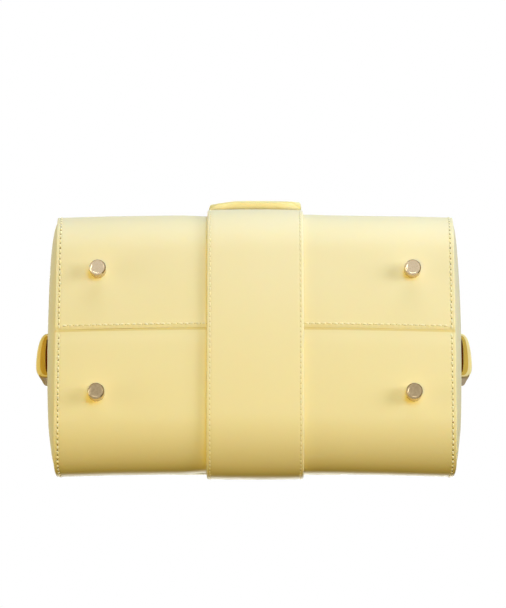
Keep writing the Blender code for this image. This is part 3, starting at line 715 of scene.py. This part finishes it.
def closure_band(name, points, node, tip=None, curl=0.0, drop=0.0):
    """A length of the closure along its middle line; its free end is rounded, thinner and let down."""
    roundness = 0.0011
    rings, columns = [], set()
    left_over = sum((b - a).length for a, b in zip(points, points[1:]))
    for i, point in enumerate(points):
        ahead = points[min(i + 1, len(points) - 1)]
        behind = points[max(i - 1, 0)]
        along = (ahead - behind).normalized()
        out = Vector((0, along.z, -along.y))
        if i:
            left_over -= (point - points[i - 1]).length
        full = width = FLAP_HALF_WIDTH - 0.0002
        thin = 1.0
        if tip and left_over < tip:
            width = full - tip + math.sqrt(max(tip ** 2 - (tip - left_over) ** 2, 0))
            thin = math.sqrt(max(1 - max(1 - left_over / (roundness * 1.4), 0) ** 2, 0.06))
        outline, columns = band_outline(width, FLAP * thin, roundness * thin)
        ring = []
        for x, lift in outline:
            lift += FLAP * thin / 2
            lift -= (drop + curl * smooth((-x / full - 0.35) / 0.65)) * smooth(1 - left_over / 0.035)
            ring.append(point + Vector((x, 0, 0)) + out * lift)
        rings.append(ring)
    piece = loft(name, rings, [FLAP_FACE, FLAP_EDGE], None, edge_columns=columns, slot="edge_leather")
    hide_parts(node)
    return piece


def make_closure():
    """The closure, in two lengths that meet on the bridge, and its stitching."""
    back, front = closure_fold_lines()
    points = closure_path()
    middle_y = (back.y + front.y) / 2
    split = next(i for i, p in enumerate(points) if p.y < middle_y and p.z > RIM_Z)
    rear = closure_band("closure_rear", points[:split + 1], "closure_bridge")
    flap = closure_band("closure_front", points[split:], "closure_flap", tip=0.0045, curl=0.0015, drop=0.0009)
    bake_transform(rear)
    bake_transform(flap)
    normal = Vector((0, -math.cos(LEAN), math.sin(LEAN)))
    foot = ROLL_Y + ROLL_RADIUS * math.cos(LEAN)
    top, low = FACE_LENGTH - 0.006, (FLAP_TIP_Z + 0.005 - TANGENT_Z) / math.cos(LEAN)
    runs = [top + (low - top) * i / 79 for i in range(80)]
    for hand, tag in HANDS:
        x = hand * (FLAP_HALF_WIDTH - STRAP_STITCH_INSET)
        points = [Vector((x, run * math.sin(LEAN) - foot, TANGENT_Z + run * math.cos(LEAN)))
                  + normal * (FLAP_OFFSET + FLAP + 0.00002) for run in runs]
        fine_row("stitch_flap_" + tag, points, [normal] * 80, "flap")


def loop_crown(share):
    """A loop's height across its width, as a share: a long rise from the front and a square back corner."""
    crest = 0.5
    if share < crest:
        return max(1 - ((crest - share) / (1 + crest)) ** 2, 0) ** 0.38
    return max(1 - ((share - crest) / (1 - crest)) ** 2, 0) ** 0.30


def make_side_loop(name, hand, node):
    """An arched leather loop, open below, with painted edges, painted shade on its inner end faces and back
    wall, and a dark sheet inside as painted shade of its hollow.
    """
    low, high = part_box(node)
    middle_z = (low.z + high.z) / 2
    half_height = (high.z - low.z) / 2 - 0.0004
    half = (high.y - low.y) / 2 + 0.0008
    slope = (RIM_HALF_WIDTH - BASE_HALF_WIDTH) / (RIM_Z - BASE_Z)
    up = Vector((hand * slope, 0, 1)).normalized()
    out = Vector((hand * up.z, 0, -hand * up.x))
    stand = CLEAR + (FULL_SIDE if hand < 0 else 0)
    origin = Vector((hand * gusset_x(0, middle_z), -0.0006, middle_z)) + out * stand
    depth, back, hollow, hollow_half = 0.0061 + (0.0005 if hand < 0 else 0), 0.0006, 0.0011, 0.0088
    steps, taper = 28, 0.35
    inward = {"outer": 0.0, "middle": 0.45, "inner": 1.0, "shade_fill": 1.0}

    def outline(kind):
        points = []
        for i in range(steps + 1):
            angle = math.pi * i / steps
            outer = (half * math.cos(angle), back + (depth - back) * loop_crown(math.cos(angle)))
            inner = (hollow_half * math.cos(angle), back + 0.0002 + hollow * math.sin(angle) ** 0.7)
            points.append(tuple(a + (b - a) * inward[kind] for a, b in zip(outer, inner)))
        return points

    def row(bm, kind, level, pull=0.0):
        middle = Vector((0, back + hollow / 2))
        made = []
        for v, u in outline(kind):
            away = Vector((v, u)) - middle
            v, u = middle + away * (1 - pull / max(away.length, 0.001))
            u *= 1 - taper * smooth((level + 1) / 2) if kind != "shade_fill" else 1.0
            place = origin + Vector((0, v, 0)) + out * max(u, 0.0) + up * (level * half_height)
            made.append(bm.verts.new(place))
        return made

    bm = bmesh.new()
    levels = [(-1.0, 0.0005), (-0.97, 0.0001), (-0.9, 0.0), (-0.3, 0.0), (0.3, 0.0), (0.9, 0.0),
              (0.97, 0.0001), (1.0, 0.0005)]
    outer_rows = [row(bm, "outer", level, pull) for level, pull in levels]
    inner_rows = [row(bm, "inner", level) for level, pull in levels]
    # The outer face's first columns, on the loop's back wall, take a darker colour as painted shade.
    wall = 4
    for first, second in zip(outer_rows, outer_rows[1:]):
        bridge(bm, first[:wall + 1], second[:wall + 1], 3, closed=False)
        bridge(bm, first[wall:] + first[:1], second[wall:] + second[:1], closed=False)
    for first, second in zip(inner_rows, inner_rows[1:]):
        bridge(bm, first, second)
    # Each end face: edge paint outside, and a darker colour next to the hollow as painted shade.
    for end in (0, -1):
        middle = row(bm, "middle", levels[end][0])
        bridge(bm, outer_rows[end], middle, 1)
        bridge(bm, middle, inner_rows[end], 2)
    finish_mesh(name, bm, [DEEP, EDGE_PAINT_AND_SEAM_SHADE, LOOP_EDGE_SHADE, LOOP_WALL_SHADE], "bag", replaced=[node],
                slot="edge_leather", sharp=60.0)
    # A dark sheet filling the hollow: painted shade.
    bm = bmesh.new()
    levels = ((-0.8, 0.0003), (-0.75, 0.0001), (0.6, 0.0001), (0.7, 0.0003))
    rows = [row(bm, "shade_fill", level, pull) for level, pull in levels]
    for first, second in zip(rows, rows[1:]):
        bridge(bm, first, second)
    bm.faces.new(rows[0])
    bm.faces.new(rows[-1])
    finish_mesh(name + "_hollow_shade", bm, [LOOP_HOLLOW_SHADE], "bag", slot="edge_leather", sharp=60.0)


def turned(name, origin, axis, profile, sides, node):
    """A gilt piece turned about an axis, from its profile of (radius, along) pairs."""
    helper = Vector((1, 0, 0)) if abs(axis.x) < 0.7 else Vector((0, 1, 0))
    u_axis = axis.cross(helper).normalized()
    v_axis = axis.cross(u_axis)
    rings = []
    for radius, along in profile:
        rings.append([origin + axis * along + (u_axis * math.cos(a) + v_axis * math.sin(a)) * radius
                      for a in turn(sides)])
    return loft(name, rings, [GILT], "bag", sharp=28.0, replaced=[node], slot="pale_gilt")


def make_foot(node):
    """A turned foot: shallow dished head, fine rim and a straight polished wall."""
    low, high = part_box(node)
    x, y = (low.x + high.x) / 2, (low.y + high.y) / 2 - MIDDLE_Y - FOOT_SHIFT
    radius = (high.x - low.x) / 2
    neck = BASE_Z - 0.00005
    bevel = 0.0008
    flat, shank = radius * 0.87, 0.0015
    profile = [
        (0.0002, 0.00022), (radius * 0.66, 0.00022), (radius * 0.72, 0.00014), (radius * 0.76, 0.00002),
        (flat, 0.0), (radius * 0.95, 0.00030), (radius, bevel), (radius, neck - 0.0009),
        (radius * 0.97, neck - 0.0005), (radius * 0.92, neck - 0.0003), (radius * 0.92, neck),
        (shank, neck), (shank, high.z),
    ]
    foot = turned(node + "_dressed", Vector((x, y, 0)), Vector((0, 0, 1)), profile, 48, node)
    # The back feet's heads take the darker gilt, a painted darker reflection.
    foot.data.materials.append(DARK_RIM_REFLECTION)
    foot.data.materials.append(SHADED_GILT if y > 0 else GILT)
    # On one side of the rim the dark gilt paints a dark reflection; the head takes the third material.
    for face in foot.data.polygons:
        across, along = face.center.x - x, face.center.y - y - MIDDLE_Y
        if face.center.z < bevel:
            face.material_index = 1 if math.hypot(across, along) > flat and across > along * 0.8 else 2


def leaning_frame(face, lean, place):
    """A frame at a place: X across, Y out of a face that leans inwards, Z up along it."""
    out = Vector((0, face * math.cos(lean), math.sin(lean)))
    up = Vector((0, -face * math.sin(lean), math.cos(lean)))
    matrix = Matrix((Vector((1, 0, 0)), out, up)).transposed().to_4x4()
    matrix.translation = place
    return matrix


def grip_frame(face):
    """The handle's own frame on its hinge line: X across, Y outwards, Z up the handle."""
    return leaning_frame(face, HANDLE_LEAN, joint_place(dict(SIDES)[face] + "_handle_swing"))


def handle_stations():
    """(x, z, tilt, half across, half through, squareness) along half a handle, from its end."""
    eye_z, eye, eye_half = 2 * RING_HALF_HEIGHT, 0.0040, 0.0070
    radius, leg, rise, neck = 0.00475, 0.040, 0.095, 0.026
    stations = []
    for i in range(9):
        angle = math.radians(84.0) * (1 - i / 8)
        stations.append((HANDLE_X, eye_z - eye * math.sin(angle), 0.0, eye_half, eye * math.cos(angle), 1.0))
    for i in range(1, 15):
        share = i / 14
        ease = smooth(share)
        stations.append((HANDLE_X, eye_z + neck * share, 0.0, eye_half + (radius - eye_half) * ease,
                         eye + (radius - eye) * ease - 0.0005 * math.sin(math.pi * share), 1 - ease))
    for i in range(1, 5):
        stations.append((HANDLE_X, eye_z + neck + (leg - neck) * i / 5, 0.0, radius, radius, 0.0))
    arch = rise - leg
    for i in range(31):
        angle = math.pi / 2 * i / 30
        tilt = math.atan2(HANDLE_X * math.sin(angle), arch * math.cos(angle))
        x, z = HANDLE_X * math.cos(angle), eye_z + leg + arch * math.sin(angle)
        stations.append((x, z, tilt, radius, radius, 0.0))
    return stations


def make_handle(name, face, body, node):
    """A rolled handle: flattened ends, a raised sewn seam along its inner side."""
    matrix = grip_frame(face)
    stations = handle_stations()
    mirrored = [(-x, z, math.pi - tilt, a, b, q) for x, z, tilt, a, b, q in stations[-2::-1]]
    sides = 32
    rings, seam, seam_normals = [], [], []
    for x, z, tilt, half_a, half_b, square in stations + mirrored:
        outward = Vector((math.cos(tilt), 0, math.sin(tilt)))
        centre = Vector((x, 0, z))
        power = 1 - square * 0.5
        ring = []
        for k in range(sides):
            angle = math.tau * (k + 0.5) / sides
            c, s = math.cos(angle), math.sin(angle)
            u = math.copysign(abs(c) ** power, c) * half_a
            v = math.copysign(abs(s) ** power, s) * half_b
            seam_swell = 0.00045 * bell(angle - math.pi, 0.20) * (1 - square)
            ring.append(matrix @ (centre + outward * (u - seam_swell) + Vector((0, v, 0))))
        rings.append(ring)
        seam.append(matrix @ (centre - outward * (half_a + 0.0004)))
        seam_normals.append(matrix.to_3x3() @ -outward)
    loft(name, rings, [DEEP], body, replaced=[node], slot="edge_leather")
    sewn = slice(20, -20)
    fine_row("stitch_" + name, seam[sewn], seam_normals[sewn], body, pitch=0.0030)


def rounded_rectangle(half_u, half_v, corner, steps):
    """A rectangle's outline with round corners, as (u, v) pairs."""
    points = []
    for quarter, (su, sv) in enumerate(((1, 1), (-1, 1), (-1, -1), (1, -1))):
        for i in range(steps + 1):
            angle = math.pi / 2 * (quarter + i / steps)
            points.append((su * (half_u - corner) + corner * math.cos(angle),
                           sv * (half_v - corner) + corner * math.sin(angle)))
    return points


def make_ring(node, face, hand, body):
    """A drawn-wire ring with rounded corners."""
    matrix = grip_frame(face)
    matrix.translation.x = hand * HANDLE_X
    outline = rounded_rectangle(RING_HALF_WIDTH, RING_HALF_HEIGHT, RING_CORNER, 10)
    path = [Vector((u, 0, v + RING_HALF_HEIGHT)) for u, v in outline]
    through = Vector((0, 1, 0))
    rings = []
    for i, point in enumerate(path):
        along = (path[(i + 1) % len(path)] - path[i - 1]).normalized()
        outward = along.cross(through)
        rings.append([matrix @ (point + (outward * math.cos(a) + through * math.sin(a)) * WIRE)
                      for a in turn(20)])
    loft(node + "_dressed", rings, [GILT], body, closed=True, replaced=[node], slot="pale_gilt", sharp=60.0)


def face_frame(face, hand, z):
    """The frame on a leaning face of the wrap, in line with a handle's end."""
    return leaning_frame(face, LEAN, Vector((hand * HANDLE_X, face * wall_y(0, z), z)))


def make_chape(node, face, hand):
    """The tab that carries a ring: turned over at the top, rounded at the foot, sewn down."""
    matrix = face_frame(face, hand, RIM_Z - HINGE_DROP)
    half, radius, length = CHAPE_HALF, CHAPE_ROLL, CHAPE_LENGTH
    line = [(CLEAR, -length + length * i / 12) for i in range(13)]
    for i in range(1, 25):
        angle = math.pi - 3 * math.pi / 2 * i / 24
        line.append((CLEAR + radius + radius * math.cos(angle), radius * math.sin(angle)))
    line += [(CLEAR + radius, -0.003 - (length - 0.003) * i / 12) for i in range(1, 13)]
    columns = 14
    bm = bmesh.new()
    loops = []
    for k in range(columns + 1):
        u = half * math.sin(math.pi * (k / columns - 0.5))
        edge = abs(u) / half
        loop = []
        for v, w in line:
            near_foot = max((-w - (length - 0.007)) / 0.007, 0.0)
            limit = half * math.sqrt(max(1 - (near_foot * 0.92) ** 2, 0.02))
            pull = 0.00045 * max(edge - 0.9, 0) / 0.1 if v > CLEAR + radius * 0.9 else 0.0
            loop.append(bm.verts.new(matrix @ Vector((max(min(u, limit), -limit), v - pull, w))))
        loops.append(loop)
    for first, second in zip(loops, loops[1:]):
        bridge(bm, first, second)
    for loop in (loops[0], loops[-1]):
        bm.faces.new(loop).material_index = 1
    bmesh.ops.remove_doubles(bm, verts=bm.verts, dist=0.000001)
    finish_mesh(node + "_dressed", bm, [DEEP, EDGE_PAINT_AND_SEAM_SHADE], "bag", replaced=[node],
                slot="edge_leather", sharp=45.0)
    inset, sewn, turn_z = half - 0.0016, 0.028, -0.034
    path = [(-inset, turn_z + sewn * (1 - i / 14)) for i in range(15)]
    for i in range(1, 12):
        angle = math.pi * i / 12
        path.append((-inset * math.cos(angle), turn_z - 0.0040 * math.sin(angle)))
    path += [(inset, turn_z + sewn * i / 14) for i in range(15)]
    normal = matrix.to_3x3() @ Vector((0, 1, 0))
    points = [matrix @ Vector((u, radius + CLEAR + 0.00002, w)) for u, w in path]
    fine_row("stitch_" + node, points, [normal] * len(points), "bag")


def make_rivet(node, face, hand):
    """A domed rivet through a chape and the panel."""
    matrix = face_frame(face, hand, RIM_Z - HINGE_DROP - RIVET_DROP * math.cos(LEAN))
    out = matrix.to_3x3() @ Vector((0, 1, 0))
    head = CLEAR + CHAPE_ROLL + 0.0001
    dome = ((0.0036, 0.0), (0.0036, 0.0003), (0.0033, 0.0008), (0.0026, 0.0011), (0.0014, 0.0013),
            (0.0002, 0.00135))
    profile = [(0.0030, -0.0033), (0.0030, -0.0023), (0.0015, -0.0023), (0.0015, head)]
    profile += [(radius, head + rise) for radius, rise in dome]
    turned(node + "_dressed", matrix.translation, out, profile, 32, node)


def make_lining():
    """The suede bucket inside, with softly rounded lower edges."""
    top_z, low_z = RIM_Z - 0.001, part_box("lining")[0].z
    suede_thickness = 0.0008
    heights = [low_z + (top_z - low_z) * (i / 30) ** 1.6 for i in range(31)]

    def ring(z, shrink):
        low_share = max(1 - (z - low_z) / 0.008, 0.0)
        tuck = 0.003 * low_share ** 2
        half_u = half_width(z) - 0.0045 - shrink - tuck
        half_v = wall_y(-0.0050, z) - shrink - tuck
        return [Vector((u, v, z)) for u, v in rounded_rectangle(half_u, half_v, 0.006 - shrink, 8)]

    rings = [ring(z, 0) for z in heights] + [ring(z, suede_thickness) for z in reversed(heights[1:])]
    rings.append([point + Vector((0, 0, suede_thickness)) for point in ring(heights[0], suede_thickness)])
    loft("lining_dressed", rings, [LINING_SUEDE], "bag", replaced=["lining"], slot="lining_suede")


def dress_plain_nodes():
    """Rigid solids whose shape is right keep it and get a finished material."""
    looks = {"base_board": BOARD, "slip_pocket": LINING_SUEDE, "front_facing": BUTTER, "back_facing": BUTTER,
             "snap_socket": GILT, "snap_stud": GILT}
    looks.update({name: STEEL for name in frame["nodes"] if name.startswith("foot_nut")})
    for name, look in looks.items():
        for slot in frame["nodes"][name].material_slots:
            slot.material = look


def make_bag():
    """Every piece of the bag, from the wrap to the rivets."""
    for side, tag in SIDES:
        make_wrap("wrap_" + tag, side, tag + "_panel")
    make_wrap_stitching()
    for hand, tag in HANDS:
        make_gusset(f"gusset_{tag}_dressed", hand, tag + "_gusset")
    make_strap()
    make_closure()
    for hand, tag in HANDS:
        make_side_loop(f"side_loop_{tag}_dressed", hand, tag + "_side_loop")
    make_lining()
    for face, face_name in SIDES:
        grip = face_name + "_grip"
        make_handle(face_name + "_handle_dressed", face, grip, face_name + "_handle")
        for hand, hand_name in HANDS:
            tail = face_name + "_" + hand_name
            make_foot("foot_" + tail)
            make_ring("ring_" + tail, face, hand, grip)
            make_chape("chape_" + tail, face, hand)
            make_rivet("rivet_" + tail, face, hand)


def make_floor():
    """A pale floor that fades into the white round it, clear when it is looked at from below."""
    bm = bmesh.new()
    size, near, far = 3.0, 0.22, 0.85
    bm.faces.new([bm.verts.new((x * size, y * size, 0)) for x, y in ((-1, -1), (1, -1), (1, 1), (-1, 1))])
    mesh = bpy.data.meshes.new("floor")
    bm.to_mesh(mesh)
    bm.free()
    floor = bpy.data.objects.new("floor", mesh)
    bpy.context.scene.collection.objects.link(floor)
    made, tree, shader = new_material("floor", (0.50, 0.50, 0.49), 0.7)
    node_input(shader, "Emission Color", (1.0, 1.0, 1.0, 1.0))
    node_input(shader, "Emission Strength", 0.42)
    clear = tree.nodes.new("ShaderNodeBsdfTransparent")
    geometry = tree.nodes.new("ShaderNodeNewGeometry")
    mix = tree.nodes.new("ShaderNodeMixShader")
    coords = tree.nodes.new("ShaderNodeTexCoord")
    distance = tree.nodes.new("ShaderNodeVectorMath")
    distance.operation = "LENGTH"
    fade = tree.nodes.new("ShaderNodeMapRange")
    fade.interpolation_type = "SMOOTHSTEP"
    node_input(fade, "From Min", near)
    node_input(fade, "From Max", far)
    tree.links.new(coords.outputs["Object"], distance.inputs[0])
    tree.links.new(distance.outputs["Value"], fade.inputs["Value"])
    tree.links.new(larger(tree, geometry.outputs["Backfacing"], fade.outputs["Result"]), mix.inputs["Fac"])
    tree.links.new(shader.outputs["BSDF"], mix.inputs[1])
    tree.links.new(clear.outputs["BSDF"], mix.inputs[2])
    tree.links.new(mix.outputs["Shader"], tree.nodes["Material Output"].inputs["Surface"])
    mesh.materials.append(made)
    for ray in ("diffuse", "glossy", "transmission", "shadow"):
        setattr(floor, "visible_" + ray, False)


def make_world():
    """White behind the bag and in its metal, and a faint light on everything."""
    world = bpy.data.worlds.new("studio")
    world.use_nodes = True
    tree = world.node_tree
    background = tree.nodes["Background"]
    node_input(background, "Color", (1.0, 1.0, 1.0, 1.0))
    rays = tree.nodes.new("ShaderNodeLightPath").outputs
    spread = tree.nodes.new("ShaderNodeMapRange")
    node_input(spread, "To Min", WORLD_LEVEL)
    node_input(spread, "To Max", 1.0)
    mirrored = larger(tree, rays["Is Glossy Ray"], rays["Is Transmission Ray"])
    tree.links.new(larger(tree, rays["Is Camera Ray"], mirrored), spread.inputs["Value"])
    tree.links.new(spread.outputs["Result"], background.inputs["Strength"])
    bpy.context.scene.world = world


def area_light(name, direction, height, size, power, colour):
    """A soft box that looks at the bag's middle, at the given height, from a direction."""
    target = Vector((0, MIDDLE_Y, height))
    away = Vector(direction).normalized()
    data = bpy.data.lights.new(name, "AREA")
    data.shape = "RECTANGLE"
    data.size, data.size_y = size
    data.energy = power
    data.color = colour
    lamp = bpy.data.objects.new(name, data)
    lamp.location = target + away * LAMP_DISTANCE
    lamp.rotation_euler = (-away).to_track_quat("-Z", "Y").to_euler()
    lamp.visible_glossy = not name.startswith("under")
    bpy.context.scene.collection.objects.link(lamp)


def make_lights():
    """Plain light from the front, the sides and above, and two lamps that share the base."""
    make_world()
    for lamp in LAMPS:
        area_light(*lamp)


def make_camera():
    """The photograph's view: from below the base, a little from the back."""
    towards = Vector((0, math.sin(CAMERA_TILT), -math.cos(CAMERA_TILT)))
    up = Vector((0, -math.cos(CAMERA_TILT), -math.sin(CAMERA_TILT)))
    right = Vector((1, 0, 0))
    base = Vector((0, MIDDLE_Y, BASE_Z))
    middle = (IMAGE_WIDTH / 2 - BASE_PIXEL[0], BASE_PIXEL[1] - IMAGE_HEIGHT / 2)
    target = base + (right * middle[0] + up * middle[1]) * METRES_PER_PIXEL
    data = bpy.data.cameras.new("camera")
    data.sensor_fit = "VERTICAL"
    data.sensor_height = SENSOR
    data.lens = SENSOR * CAMERA_DISTANCE / (IMAGE_HEIGHT * METRES_PER_PIXEL)
    data.clip_start = 0.01
    camera = bpy.data.objects.new("camera", data)
    camera.matrix_world = Matrix.Translation(target + towards * CAMERA_DISTANCE) @ Matrix(
        (right, up, towards)).transposed().to_4x4()
    bpy.context.scene.collection.objects.link(camera)
    bpy.context.scene.camera = camera


bpy.context.scene.view_settings.view_transform = "Standard"
make_bag()
dress_plain_nodes()
make_floor()
make_lights()
make_camera()
